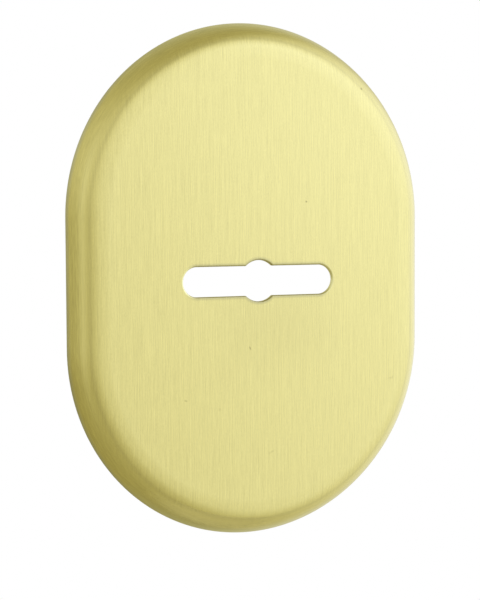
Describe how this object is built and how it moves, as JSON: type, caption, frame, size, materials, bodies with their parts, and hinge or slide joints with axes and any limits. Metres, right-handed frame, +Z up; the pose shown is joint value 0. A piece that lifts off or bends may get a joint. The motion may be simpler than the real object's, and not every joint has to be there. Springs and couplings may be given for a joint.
{
  "type": "door escutcheon",
  "caption": "Shallow obround door escutcheon drawn from one satin brass sheet, with a rounded rim, an open back and a level slot for a double-bit key.",
  "frame": {"origin": "the point where the axis of the key meets the door, at the centre of the flat back edge", "axes": "+Z up along the long side of the plate, -Y out of the face towards the person, +Y into the door, +X to the right as seen from the front"},
  "size_m": [0.08, 0.005, 0.106],
  "materials": {
    "satin_brass": "satin, brushed in upright lines over the face"
  },
  "bodies": {
    "root": {"cover": "satin_brass"}
  },
  "joints": []
}
